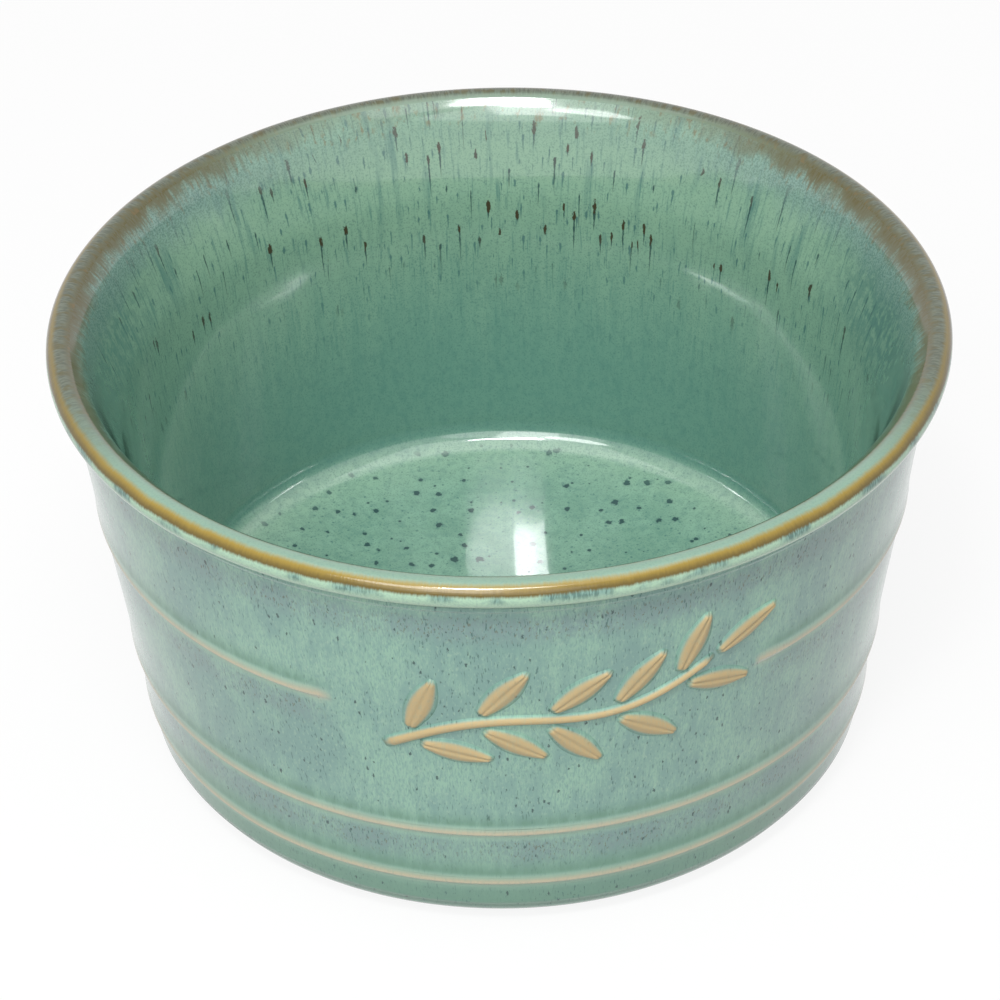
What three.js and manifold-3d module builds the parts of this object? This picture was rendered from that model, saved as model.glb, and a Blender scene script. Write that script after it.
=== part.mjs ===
// A round, straight-sided stoneware bowl with a rolled rim and stepped rings on the outside.
// The fired clay is one piece. The glaze lies on it as thin coats, which stop at the bare crest of
// each ring and at the bare foot. A clay sprig, stem and leaves, is laid on the plain front panel.
// Millimetres, +Z up, origin on the table under the middle of the foot, front panel towards -Y.
import * as THREE from 'three';
import { mergeVertices } from 'three/addons/utils/BufferGeometryUtils.js';
import Module from 'manifold-3d';

const { clamp, degToRad, lerp, smoothstep } = THREE.MathUtils;

// Overall sizes, measured over the glaze
const bowlHeight = 75;
const rimDiameter = 140;
const wallFootDiameter = 116.4; // straight line of the outer wall, carried down to the table
const wallThickness = 5.6; // at the table line
const wallSwell = 1.3; // the wall is this much thicker at the foot of the flare

// Rolled rim
const lipRadius = 2.3; // round section of the rim
const beadDrop = 5.8; // from the top of the rim to the top edge of the wall
const beadOverhang = 2.4; // rim proud of the wall's top edge
const beadUnderTilt = degToRad(165); // tilts are measured from straight up, outwards
const neckStep = 0.3; // wall drawn in between its top edge and the rim
const lipSlope = 2.6; // length of the slope on the inner side of the rim
const lipSlopeTilt = degToRad(-44); // where the round of the rim runs into that slope
const flareDepth = 16; // inside wall opens out over this depth below the rim

// Floor and foot
const floorHeight = 8.4; // inside floor at the middle, above the table
const floorDish = 3; // rise of the inside floor from the middle to its edge
const floorFillet = 5;
const footDiameter = 102;
const footWidth = 4;
const footHeight = 1.2;
const footDraft = 0.4;
const recessHeight = 2.2; // underside inside the foot ring, above the table
const baseRounding = 4.2;
const baseTuck = 0.2; // base edge drawn in from the line of the wall

// Stepped rings round the outside
const lowerRingHeight = 10.3;
const middleRingHeight = 21.5;
const upperRingHeight = 47;
const crestProud = 0.5; // a crest stands out this far from the tier below it
const crestHeight = 0.9;
const crestRise = 0.3; // from a crest up to where the tier above it begins
const tierSweep = 3; // a tier sweeps out to the crest below it over about this height

// Plain front panel, where the upper ring is left out
const panelAngle = degToRad(5.5); // from -Y towards +X
const panelHalfAngle = degToRad(31);
const panelFade = degToRad(8);

// Glaze coats
const glazeThickness = 0.3;
const seatGap = 0.1; // between a coat or a sprig and the clay under it
const clearance = 0.3; // between the edge of a coat and a neighbour
const bandTopTilt = degToRad(26); // amber band on the outer edge of the rim
const bandBottomTilt = degToRad(74);
const beadCoatTilt = degToRad(150);

// Clay sprig on the panel
const panelHeight = 46;
const stemLength = 50;
const stemRise = 13; // the tip of the stem above its butt
const stemBow = 2.5;
const stemWidth = 1.7;
const stemTipWidth = 1.1;
const leafPairs = 5;
const leafLength = 11.5;
const leafWidth = 4.2;
const leafBaseWidth = 1.1;
const leafTipWidth = 0.4;
const leafSpread = degToRad(42); // angle between a leaf and the stem
const sprigProud = 0.8;
const edgeProud = 0.3; // a sprig's edge above the glaze, lower than its crown

// Facets
const ringSegments = 48;
const longTierSteps = 3;
const shortTierSteps = 3;
const beadSteps = 7;
const facetTilt = degToRad(33); // of a rim coat
const filletSteps = 3;
const floorSteps = 3;
const leafSteps = 6;
const stemSteps = 12;

// Colours
const clayColour = 0xc9a878;
const insideColour = 0x7fae92;
const outsideColour = 0x93b8a6;
const lipColour = 0x9aa69c;
const bandColour = 0xb48a3c;

const coat = glazeThickness + seatGap;
const rimRadius = rimDiameter / 2;
const wallTopHeight = bowlHeight - beadDrop;
const lipCentre = new THREE.Vector2(rimRadius - lipRadius, bowlHeight - lipRadius);
const point = (radius, height) => new THREE.Vector2(radius, height);

// Outer wall: a straight taper that every crest touches
function crestRadius(height) {
  const wallFoot = wallFootDiameter / 2;
  return lerp(wallFoot, rimRadius - beadOverhang, height / wallTopHeight);
}

// A tier stands back under the crest at its top and sweeps out to the crest at its bottom
function tierRadius(height, bottom) {
  return crestRadius(height) - crestProud * (1 - Math.exp((bottom - height) / tierSweep));
}

const tierTop = (ringAbove) => ringAbove - crestHeight;
const tierBottom = (ringBelow) => ringBelow + crestRise;

// Share of the way up a tier, with the steps closer together in the sweep
const tierShare = (step, steps) => (step / steps) ** 2;

// Points up one tier, at a lift above the clay, with a margin left at its bottom and top
function tierLine(ringBelow, ringAbove, steps, lift, bottomMargin, topMargin) {
  const bottom = tierBottom(ringBelow);
  const top = tierTop(ringAbove);
  const line = [];
  for (let i = 0; i <= steps; i++) {
    const height = lerp(bottom, top, tierShare(i, steps));
    const kept = clamp(height, bottom + bottomMargin, top - topMargin);
    line.push(point(tierRadius(kept, bottom) - coat + lift, kept));
  }
  return line;
}

function crestLine(ring, lift) {
  const radius = crestRadius(ring) + lift;
  return [point(radius, ring - crestHeight / 2), point(radius, ring)];
}

// The two tall tiers with the upper ring between them
function ringedBelt(lift, margin) {
  return [
    ...tierLine(middleRingHeight, upperRingHeight, longTierSteps, lift, margin, 0),
    ...crestLine(upperRingHeight, lift),
    ...tierLine(upperRingHeight, wallTopHeight, longTierSteps, lift, 0, margin),
  ];
}

// The same heights without the upper ring, as on the front panel
function frontRadius(height) {
  return tierRadius(height, tierBottom(middleRingHeight));
}

function plainBelt(lift, margin) {
  return ringedBelt(lift, margin).map((p) => point(frontRadius(p.y) - coat + lift, p.y));
}

// Rolled rim
function beadPoint(tilt, lift) {
  const radius = lipRadius - coat + lift;
  return point(lipCentre.x + radius * Math.sin(tilt), lipCentre.y + radius * Math.cos(tilt));
}

function beadLine(fromTilt, toTilt, steps, lift) {
  const line = [];
  for (let i = 0; i <= steps; i++) {
    line.push(beadPoint(lerp(fromTilt, toTilt, i / steps), lift));
  }
  return line;
}

// Where a straight line from a point touches a circle, on the left as seen from the point
function touchPoint(from, centre, radius) {
  const toCentre = centre.clone().sub(from);
  const turn = Math.asin(radius / toCentre.length());
  const reach = Math.sqrt(toCentre.lengthSq() - radius ** 2);
  return toCentre.rotateAround(point(0, 0), turn).setLength(reach).add(from);
}

// Inside: slope, flare, wall, fillet and dished floor, from the rim down to the axis
const flareFootHeight = bowlHeight - flareDepth;
const innerRadius = (height) =>
  crestRadius(height) - wallThickness - wallSwell * (height / flareFootHeight);
const flareFoot = (lift) => point(innerRadius(flareFootHeight) + coat - lift, flareFootHeight);
const flareTop = (lift) => {
  const down = point(-Math.cos(lipSlopeTilt), Math.sin(lipSlopeTilt));
  return beadPoint(lipSlopeTilt, lift).addScaledVector(down, lipSlope);
};

function floorLine(lift) {
  const edgeHeight = floorHeight + floorDish;
  const wallLean = Math.atan(innerRadius(1) - innerRadius(0));
  const floorLean = Math.atan((2 * floorDish) / (innerRadius(edgeHeight) - floorFillet));
  const centreHeight = edgeHeight + floorFillet * Math.cos(floorLean);
  const touchHeight = centreHeight - floorFillet * Math.sin(wallLean);
  const centre = point(innerRadius(touchHeight) - floorFillet * Math.cos(wallLean), centreHeight);
  const radius = floorFillet + coat - lift;
  const line = [];
  for (let i = 0; i <= filletSteps; i++) {
    const angle = lerp(-wallLean, floorLean - Math.PI / 2, i / filletSteps);
    line.push(point(centre.x + radius * Math.cos(angle), centre.y + radius * Math.sin(angle)));
  }
  const edge = line[filletSteps];
  const middle = floorHeight - coat + lift;
  for (let i = 1; i <= floorSteps; i++) {
    const share = 1 - i / floorSteps;
    line.push(point(edge.x * share, lerp(middle, edge.y, share ** 2)));
  }
  return line;
}

const insideLine = (lift) => [
  beadPoint(lipSlopeTilt, lift),
  flareTop(lift),
  flareFoot(lift),
  ...floorLine(lift),
];

// Underside and the lowest tier, from the foot ring out and up
const footRadius = footDiameter / 2;
const recessRadius = footRadius - footWidth - footDraft;

function recessLine(lift, margin) {
  const height = recessHeight + coat - lift;
  return [point(0, height), point(recessRadius - margin, height)];
}

function baseLine(lift, margin) {
  const centre = point(crestRadius(0) - baseTuck - baseRounding, footHeight + baseRounding);
  const radius = baseRounding - coat + lift;
  const topHeight = tierTop(lowerRingHeight) - margin;
  const top = point(crestRadius(topHeight) - crestProud - coat + lift, topHeight);
  const touch = touchPoint(top, centre, radius);
  const endAngle = Math.atan2(touch.y - centre.y, touch.x - centre.x);
  const line = [point(footRadius + footDraft + margin, centre.y - radius)];
  for (let i = 0; i <= filletSteps; i++) {
    const angle = lerp(-Math.PI / 2, endAngle, i / filletSteps);
    line.push(point(centre.x + radius * Math.cos(angle), centre.y + radius * Math.sin(angle)));
  }
  return [...line, top];
}

// Whole section of the clay, anticlockwise from the axis, with the given belt between the rings
function claySection(belt) {
  const neck = crestRadius(wallTopHeight) - neckStep - coat;
  return [
    ...recessLine(0, 0),
    point(footRadius - footWidth, 0),
    point(footRadius, 0),
    ...baseLine(0, 0),
    ...crestLine(lowerRingHeight, 0),
    ...tierLine(lowerRingHeight, middleRingHeight, shortTierSteps, 0, 0, 0),
    ...crestLine(middleRingHeight, 0),
    ...belt,
    ...crestLine(wallTopHeight, 0),
    point(neck, tierBottom(wallTopHeight)),
    ...beadLine(beadUnderTilt, lipSlopeTilt, beadSteps, 0),
    flareTop(0),
    flareFoot(0),
    ...floorLine(0),
  ];
}

// Closed section of a coat that lies on a line of the clay
function coatSection(line) {
  const face = line(coat);
  const back = line(seatGap).reverse();
  if (back[0].x === 0) return [...back, ...face];
  if (face[0].x === 0) return [...face, ...back];
  return [...face, ...back, face[0].clone()];
}

// Turns a section about the axis. Where the panel is, the plain section takes over.
function revolve(section, plain = section) {
  const geometry = new THREE.LatheGeometry(section, ringSegments);
  const position = geometry.getAttribute('position');
  const index = [];
  for (let i = 0; i <= ringSegments; i++) {
    const turn = ((i % ringSegments) / ringSegments) * 2 * Math.PI;
    const away = Math.abs(Math.atan2(Math.sin(turn - panelAngle), Math.cos(turn - panelAngle)));
    const ringed = smoothstep(away, panelHalfAngle - panelFade / 2, panelHalfAngle + panelFade / 2);
    section.forEach((p, j) => {
      const radius = lerp(plain[j].x, p.x, ringed);
      const at = i * section.length + j;
      position.setXYZ(at, radius * Math.sin(turn), -radius * Math.cos(turn), p.y);
      if (i < ringSegments && j < section.length - 1) index.push(...facets(at, section, j));
    });
  }
  return geometry.setIndex(index);
}

// Two facets of a turned skin. They split the same way up or down, so that a coat's back stays
// parallel to the clay.
function facets(at, section, j) {
  const next = at + section.length;
  const rising = section[j].y <= section[j + 1].y;
  return rising
    ? [at, next, at + 1, next + 1, at + 1, next]
    : [at, next, next + 1, at, next + 1, at + 1];
}

// Panel coordinates: along the wall to the right, up, and out from the clay
function onPanel(along, up, lift) {
  const height = panelHeight + up;
  const radius = frontRadius(height) - coat + lift;
  const turn = panelAngle + along / frontRadius(panelHeight);
  return [radius * Math.sin(turn), -radius * Math.cos(turn), height];
}

// Closed solid through a row of sections with equal point counts
function loft(sections) {
  const count = sections[0].length;
  const last = (sections.length - 1) * count;
  const index = [];
  for (let i = 0; i < sections.length - 1; i++) {
    for (let j = 0; j < count; j++) {
      const a = i * count + j;
      const b = i * count + ((j + 1) % count);
      index.push(a, b + count, b, a, a + count, b + count);
    }
  }
  for (let j = 1; j < count - 1; j++) {
    index.push(0, j, j + 1, last, last + j + 1, last + j);
  }
  const geometry = new THREE.BufferGeometry();
  geometry.setAttribute('position', new THREE.Float32BufferAttribute(sections.flat(2), 3));
  return geometry.setIndex(index);
}

// One sprig piece along a path of stations { along, up, direction, halfWidth }
function sprigPiece(stations) {
  return loft(
    stations.map((s) => {
      const across = (share, lift) =>
        onPanel(
          s.along - Math.sin(s.direction) * s.halfWidth * share,
          s.up + Math.cos(s.direction) * s.halfWidth * share,
          lift,
        );
      const edge = coat + edgeProud;
      const crown = coat + sprigProud;
      const left = [across(-1, seatGap), across(-1, edge)];
      const right = [across(1, edge), across(1, seatGap)];
      return [...left, across(0, crown), ...right];
    }),
  );
}

// The room that the glaze leaves round a sprig piece
function sprigRoom(stations) {
  const first = stations[0];
  const last = stations[stations.length - 1];
  const moved = (s, by) => ({
    ...s,
    along: s.along + Math.cos(s.direction) * by,
    up: s.up + Math.sin(s.direction) * by,
  });
  const grown = [moved(first, -clearance), ...stations.slice(1, -1), moved(last, clearance)];
  return loft(
    grown.map((s) => {
      const across = (share, lift) =>
        onPanel(
          s.along - Math.sin(s.direction) * (s.halfWidth + clearance) * share,
          s.up + Math.cos(s.direction) * (s.halfWidth + clearance) * share,
          lift,
        );
      const reach = coat + sprigProud;
      return [across(-1, -reach), across(-1, reach), across(1, reach), across(1, -reach)];
    }),
  );
}

// Stem: a gentle bow that climbs across the panel
function stemPlace(share) {
  const along = (share - 0.5) * stemLength;
  const up = (share - 0.5) * stemRise + stemBow * Math.sin(2 * Math.PI * share);
  const climb = stemRise + 2 * Math.PI * stemBow * Math.cos(2 * Math.PI * share);
  return { along, up, direction: Math.atan2(climb, stemLength) };
}

function stemStations() {
  const stations = [];
  for (let i = 0; i <= stemSteps; i++) {
    const share = i / stemSteps;
    stations.push({ ...stemPlace(share), halfWidth: lerp(stemWidth, stemTipWidth, share) / 2 });
  }
  return stations;
}

// A leaf swells from a blunt base and closes to a blunt tip
function leafHalfWidth(share) {
  const swell = leafWidth - (leafBaseWidth + leafTipWidth) / 2;
  return (lerp(leafBaseWidth, leafTipWidth, share) + swell * Math.sin(Math.PI * share)) / 2;
}

function leafStations(base, direction) {
  const stations = [];
  for (let i = 0; i <= leafSteps; i++) {
    const share = i / leafSteps;
    stations.push({
      along: base.along + Math.cos(direction) * leafLength * share,
      up: base.up + Math.sin(direction) * leafLength * share,
      direction,
      halfWidth: leafHalfWidth(share),
    });
  }
  return stations;
}

function sideLeaf(pair, side) {
  const place = stemPlace((pair + 0.5) / leafPairs);
  const direction = place.direction + leafSpread * side;
  const cornerReach = (leafBaseWidth / 2) * Math.cos(leafSpread);
  const offset = (stemWidth / 2 + clearance + cornerReach) * side;
  const base = {
    along: place.along - Math.sin(place.direction) * offset,
    up: place.up + Math.cos(place.direction) * offset,
  };
  return leafStations(base, direction);
}

function endLeaf() {
  const tip = stemPlace(1);
  const base = {
    along: tip.along + Math.cos(tip.direction) * clearance,
    up: tip.up + Math.sin(tip.direction) * clearance,
  };
  return leafStations(base, tip.direction);
}

const sprig = [{ name: 'sprig_stem', stations: stemStations() }];
for (let pair = 0; pair < leafPairs; pair++) {
  sprig.push({ name: `sprig_upper_leaf_${pair + 1}`, stations: sideLeaf(pair, 1) });
  sprig.push({ name: `sprig_lower_leaf_${pair + 1}`, stations: sideLeaf(pair, -1) });
}
sprig.push({ name: 'sprig_end_leaf', stations: endLeaf() });

// Cutting, for the one coat that has openings
const wasm = await Module();
wasm.setup();

function solid(geometry) {
  const bare = geometry.clone();
  bare.deleteAttribute('normal');
  bare.deleteAttribute('uv');
  const merged = mergeVertices(bare);
  const mesh = new wasm.Mesh({
    numProp: 3,
    vertProperties: merged.getAttribute('position').array,
    triVerts: new Uint32Array(merged.index.array),
  });
  return new wasm.Manifold(mesh);
}

// Slot round the upper ring, all the way but for the panel
function ringSlot() {
  const start = panelAngle + panelHalfAngle - Math.PI / 2;
  const end = start + 2 * (Math.PI - panelHalfAngle);
  const outline = new THREE.Shape();
  outline.absarc(0, 0, rimRadius, start, end, false);
  outline.absarc(0, 0, innerRadius(upperRingHeight), end, start, true);
  const bottom = tierTop(upperRingHeight) - clearance;
  const depth = tierBottom(upperRingHeight) + clearance - bottom;
  const options = { depth, bevelEnabled: false, curveSegments: ringSegments };
  return new THREE.ExtrudeGeometry(outline, options).translate(0, 0, bottom);
}

function beltCoat() {
  const ringed = coatSection((lift) => ringedBelt(lift, clearance));
  const plain = coatSection((lift) => plainBelt(lift, clearance));
  let coatSolid = solid(revolve(ringed, plain)).subtract(solid(ringSlot()));
  for (const piece of sprig) {
    coatSolid = coatSolid.subtract(solid(sprigRoom(piece.stations)));
  }
  const cut = coatSolid.getMesh();
  const geometry = new THREE.BufferGeometry();
  geometry.setAttribute('position', new THREE.BufferAttribute(cut.vertProperties, 3));
  geometry.setIndex(new THREE.BufferAttribute(cut.triVerts, 1));
  return geometry;
}

// Coats on the rolled rim, with half of the gap between two of them as an angle
const rimCoat = (fromTilt, toTilt, lift) => {
  const steps = Math.ceil((fromTilt - toTilt) / facetTilt);
  return beadLine(fromTilt, toTilt, steps, lift);
};
const seamTilt = clearance / 2 / lipRadius;
const lipCoat = (lift) => rimCoat(bandTopTilt - seamTilt, lipSlopeTilt + 2 * seamTilt, lift);
const rimBand = (lift) => rimCoat(bandBottomTilt - seamTilt, bandTopTilt + seamTilt, lift);
const beadCoat = (lift) => rimCoat(beadCoatTilt, bandBottomTilt + seamTilt, lift);
const footCoat = (lift) => baseLine(lift, clearance);
const undersideCoat = (lift) => recessLine(lift, clearance);
const middleCoat = (lift) =>
  tierLine(lowerRingHeight, middleRingHeight, shortTierSteps, lift, clearance, clearance);

const materials = {
  clay: new THREE.MeshStandardMaterial({ color: clayColour, roughness: 0.75, metalness: 0 }),
  inside: new THREE.MeshStandardMaterial({ color: insideColour, roughness: 0.12, metalness: 0 }),
  outside: new THREE.MeshStandardMaterial({ color: outsideColour, roughness: 0.2, metalness: 0 }),
  lip: new THREE.MeshStandardMaterial({ color: lipColour, roughness: 0.2, metalness: 0 }),
  band: new THREE.MeshStandardMaterial({ color: bandColour, roughness: 0.25, metalness: 0 }),
};

const bowl = new THREE.Group();

function addPiece(name, geometry, material) {
  const mesh = new THREE.Mesh(geometry, material);
  mesh.name = name;
  bowl.add(mesh);
}

const clayBody = revolve(claySection(ringedBelt(0, 0)), claySection(plainBelt(0, 0)));
addPiece('clay_body', clayBody, materials.clay);
addPiece('inside_glaze', revolve(coatSection(insideLine)), materials.inside);
addPiece('lip_glaze', revolve(coatSection(lipCoat)), materials.lip);
addPiece('rim_band', revolve(coatSection(rimBand)), materials.band);
addPiece('bead_glaze', revolve(coatSection(beadCoat)), materials.outside);
addPiece('wall_glaze', beltCoat(), materials.outside);
addPiece('middle_glaze', revolve(coatSection(middleCoat)), materials.outside);
addPiece('foot_glaze', revolve(coatSection(footCoat)), materials.outside);
addPiece('underside_glaze', revolve(coatSection(undersideCoat)), materials.inside);
for (const piece of sprig) {
  addPiece(piece.name, sprigPiece(piece.stations), materials.clay);
}

export default bowl;
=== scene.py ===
"""Glazed stoneware bowl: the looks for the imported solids, in metres, in their frame."""

import math

import bpy
import numpy as np
from mathutils import Matrix, Vector


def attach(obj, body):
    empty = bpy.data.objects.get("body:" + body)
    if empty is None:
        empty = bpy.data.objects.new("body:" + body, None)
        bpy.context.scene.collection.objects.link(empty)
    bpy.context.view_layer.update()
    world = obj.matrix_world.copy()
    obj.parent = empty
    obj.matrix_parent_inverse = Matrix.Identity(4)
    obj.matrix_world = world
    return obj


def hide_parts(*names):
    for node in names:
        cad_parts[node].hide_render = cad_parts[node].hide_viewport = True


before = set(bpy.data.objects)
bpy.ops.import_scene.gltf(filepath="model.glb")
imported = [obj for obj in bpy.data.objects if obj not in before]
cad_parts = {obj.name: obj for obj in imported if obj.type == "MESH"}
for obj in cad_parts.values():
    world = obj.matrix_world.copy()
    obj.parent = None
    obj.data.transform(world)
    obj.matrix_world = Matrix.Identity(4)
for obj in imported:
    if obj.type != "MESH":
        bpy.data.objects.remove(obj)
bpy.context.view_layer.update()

# Sizes of the bowl in millimetres, over the glaze, as in the solids
# Tilts are in degrees from straight up, outwards positive, and angles in radians from -Y towards +X
MM = 0.001
RIM_RADIUS = 69.9
BOWL_HEIGHT = 74.95
WALL_TOP = 69.2
WALL_TOP_RADIUS = 67.6
WALL_FOOT_RADIUS = 58.2
WALL_THICKNESS = 5.6  # at the table line
WALL_SWELL = 1.3  # the wall is this much thicker at the foot of the flare
LIP_RADIUS = 2.25
LIP_SLOPE = 2.6  # length of the slope on the inner side of the rim
LIP_SLOPE_TILT = -44.0
FLARE_FOOT = 59.0  # the inside opens out above this height
FLARE_BLEND = 4.0
SLOPE_BLEND = 2.0
FLOOR_HEIGHT = 8.4
FLOOR_DISH = 3.0
FLOOR_FILLET = 5.0
FOOT_RADIUS = 51.0
FOOT_WIDTH = 4.0
FOOT_HEIGHT = 1.2
FOOT_DRAFT = 0.4
RECESS_HEIGHT = 2.2
BASE_ROUNDING = 4.2
BASE_TUCK = 0.2
BASE_ARC_TOP = -14.0  # degrees from level where the base's rounding begins
LOWER_RING = 10.3  # heights of the crests
MIDDLE_RING = 21.5
UPPER_RING = 47.0  # left out on the panel
RINGS = (LOWER_RING, MIDDLE_RING, UPPER_RING, WALL_TOP)
CREST_PROUD = 0.5
CREST_HEIGHT = 0.9
CREST_EDGE = 0.1
CREST_PAINT = 0.72  # half the height over which a crest is bare
CREST_END_PAINT = 0.28  # more of it where the upper ring ends at the panel
CREST_MIDDLE = 0.05  # the middle of the bare line lies this far above its ring
TIER_SWEEP = 3.0  # a tier sweeps out to the crest below it over about this height
COAT = 0.4
PANEL_ANGLE = math.radians(5.5)
PANEL_HALF_ANGLE = math.radians(31)
PANEL_FADE = math.radians(8)
PANEL_HEIGHT = 46.0
BAND_TOP_TILT = 26.0
BAND_BOTTOM_TILT = 74.0
BEAD_UNDER_TILT = 160.0
LIP_CENTRE = (RIM_RADIUS - LIP_RADIUS, BOWL_HEIGHT - LIP_RADIUS)
RECESS_RADIUS = FOOT_RADIUS - FOOT_WIDTH - FOOT_DRAFT

# How closely the meshes follow the lines, in millimetres and counts
SEGMENTS = 384
COARSE_STEP = 0.8
FINE_STEP = 0.12
FINE_BELOW = 1.4  # fine steps start this far below a crest
FINE_ABOVE = 2.4
HIDDEN_EVERY = 6  # a side that no view shows keeps one point in so many
AXIS_RADIUS = 0.004


def smooth(low, high, value):
    """Eased step from 0 at low to 1 at high, which may lie below low."""
    share = np.clip((np.asarray(value, float) - low) / (high - low), 0, 1)
    return share * share * (3 - 2 * share)


# Outer wall
def crest_radius(height):
    return WALL_FOOT_RADIUS + (WALL_TOP_RADIUS - WALL_FOOT_RADIUS) * height / WALL_TOP


def wall_offset(height, rings):
    """How far the wall lies in from the line of the crests, for the rings that bound its tiers.

    A tier sweeps out to the crest below it and steps in again under that crest."""
    height = np.asarray(height, float)
    offset = np.full(height.shape, -CREST_PROUD)
    for ring in rings:
        above = height - ring
        sweep = np.exp(-np.clip(above, 0, None) / TIER_SWEEP)
        bead = CREST_PROUD * np.where(above > 0, sweep, smooth(-CREST_HEIGHT, -CREST_EDGE, above))
        offset = np.maximum(offset, bead - CREST_PROUD)
    return offset


def angle_from(middle, angle):
    """How far an angle lies from the middle one, either way round."""
    return np.abs((np.asarray(angle) - middle + math.pi) % (2 * math.pi) - math.pi)


def panel_share(angle):
    """1 on the plain front panel, 0 where the upper ring runs."""
    away = angle_from(PANEL_ANGLE, angle)
    return 1 - smooth(PANEL_HALF_ANGLE - PANEL_FADE / 2, PANEL_HALF_ANGLE + PANEL_FADE / 2, away)


def wall_radius(height, angle):
    """Finished outside radius anywhere on the wall."""
    plain_rings = tuple(ring for ring in RINGS if ring != UPPER_RING)
    ringed = wall_offset(height, RINGS)
    plain = wall_offset(height, plain_rings)
    return crest_radius(height) + ringed + (plain - ringed) * panel_share(angle)


def wall_heights(low, high):
    """Heights up a tier, close together round the crests."""
    coarse = np.arange(low, high, COARSE_STEP)
    fine = [np.arange(ring - FINE_BELOW, ring + FINE_ABOVE, FINE_STEP) for ring in RINGS]
    heights = np.concatenate([coarse, *fine, [low, high]])
    heights = np.unique(np.round(heights, 3))
    return heights[(heights >= low) & (heights <= high)]


def over_rings(rule, rings, height, angle):
    """Sum of a rule of the height above each ring. The upper ring's share fades out on the panel."""
    total = np.zeros(np.broadcast(height, angle).shape)
    for ring in rings:
        total += rule(height - ring) * (1 - panel_share(angle) if ring == UPPER_RING else 1)
    return np.clip(total, 0, 1)


def hump(value, middle, spread):
    return np.exp(-(((value - middle) / spread) ** 2))


def thinness(height, angle):
    """1 where the glaze has run off a crest and the clay shows through, wider at the upper ring's ends."""
    past_end = np.degrees(angle_from(PANEL_ANGLE, angle) - PANEL_HALF_ANGLE)
    lower = over_rings(lambda above: hump(above, CREST_MIDDLE, CREST_PAINT), RINGS[:2], height, angle)
    spread = CREST_PAINT + CREST_END_PAINT * hump(past_end, 0.5, 2.0)
    upper = hump(height - UPPER_RING, CREST_MIDDLE, spread) * smooth(-1.8, -0.6, past_end)
    return np.clip(lower + upper, 0, 1)


def pooling_and_shade(height, angle):
    """1 in the darker band above a crest, fading upwards: glaze gathered in the sweep, and painted shade of
    the sweep.
    """
    deepest = 2.0
    return over_rings(lambda above: hump(above, deepest, np.where(above < deepest, 0.6, 1.6)),
                      RINGS[:3], height, angle)


def crest_highlight(height, angle):
    """1 in the painted highlight lines just above and just below a crest, pale where the crest's edges catch
    the light.
    """
    return over_rings(lambda above: hump(above, 1.0, 0.55) + hump(above, -1.1, 0.5),
                      RINGS[:3], height, angle)


def lilac_share(height, angle):
    """1 where the glaze has thinned to lilac, some way below a crest."""
    return over_rings(lambda above: smooth(-1.2, -2.6, above) * (1 - smooth(-4.5, -8.5, above)),
                      RINGS[1:], height, angle)


# Inside and rim lines, as (radius, height)
def bead_line(from_tilt, to_tilt, radius=LIP_RADIUS, step=3.0):
    count = max(2, int(abs(to_tilt - from_tilt) / step) + 1)
    tilts = np.radians(np.linspace(from_tilt, to_tilt, count))
    return np.stack([LIP_CENTRE[0] + radius * np.sin(tilts), LIP_CENTRE[1] + radius * np.cos(tilts)], 1)


def inner_radius(height):
    return crest_radius(height) - WALL_THICKNESS - WALL_SWELL * height / FLARE_FOOT


def soft_corner(value, blend):
    """0 below zero and value above it, with the corner rounded over the blend."""
    return (value + np.sqrt(value**2 + blend**2 / 4)) / 2


def inside_wall():
    """From the rim down its slope, the flare and the wall, past the top of the fillet."""
    top = bead_line(LIP_SLOPE_TILT, 0)[0]
    slope_turn = math.radians(LIP_SLOPE_TILT)
    flare_top = top + LIP_SLOPE * np.array([-math.cos(slope_turn), math.sin(slope_turn)])
    wall_slope = inner_radius(1) - inner_radius(0)
    flare_slope = (flare_top[0] - inner_radius(FLARE_FOOT)) / (flare_top[1] - FLARE_FOOT)
    lip_slope = (top[0] - flare_top[0]) / (top[1] - flare_top[1])
    heights = np.linspace(top[1], FLOOR_HEIGHT + FLOOR_DISH + FLOOR_FILLET, 140)
    radii = inner_radius(heights)
    radii += (flare_slope - wall_slope) * soft_corner(heights - FLARE_FOOT, FLARE_BLEND)
    radii += (lip_slope - flare_slope) * soft_corner(heights - flare_top[1], SLOPE_BLEND)
    radii += (top[0] - radii[0]) * smooth(FLARE_FOOT, top[1], heights)
    return np.stack([radii, heights], 1)


def floor_fillet(wall):
    """The round between the wall and the dished floor, touching both."""
    floor_lean = math.atan(2 * FLOOR_DISH / (inner_radius(FLOOR_HEIGHT) - FLOOR_FILLET))
    wall_lean = math.atan(inner_radius(1) - inner_radius(0))
    centre_height = FLOOR_HEIGHT + FLOOR_DISH + FLOOR_FILLET * math.cos(floor_lean)
    touch_height = centre_height - FLOOR_FILLET * math.sin(wall_lean)
    touch_radius = np.interp(touch_height, wall[::-1, 1], wall[::-1, 0])
    centre_radius = touch_radius - FLOOR_FILLET * math.cos(wall_lean)
    angles = np.linspace(-wall_lean, floor_lean - math.pi / 2, 24)
    return np.stack([centre_radius + FLOOR_FILLET * np.cos(angles),
                     centre_height + FLOOR_FILLET * np.sin(angles)], 1)


def inside_line():
    """From the rim down the inside wall, round the fillet and over the dished floor to its middle."""
    wall = inside_wall()
    fillet = floor_fillet(wall)
    gap = 0.2
    edge_radius, edge_height = fillet[-1]
    share = np.linspace(0.985, 0, 50)
    floor = np.stack([np.maximum(edge_radius * share, AXIS_RADIUS),
                      FLOOR_HEIGHT + (edge_height - FLOOR_HEIGHT) * share**2], 1)
    return np.concatenate([wall[wall[:, 1] > fillet[0][1] + gap], fillet, floor])


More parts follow.
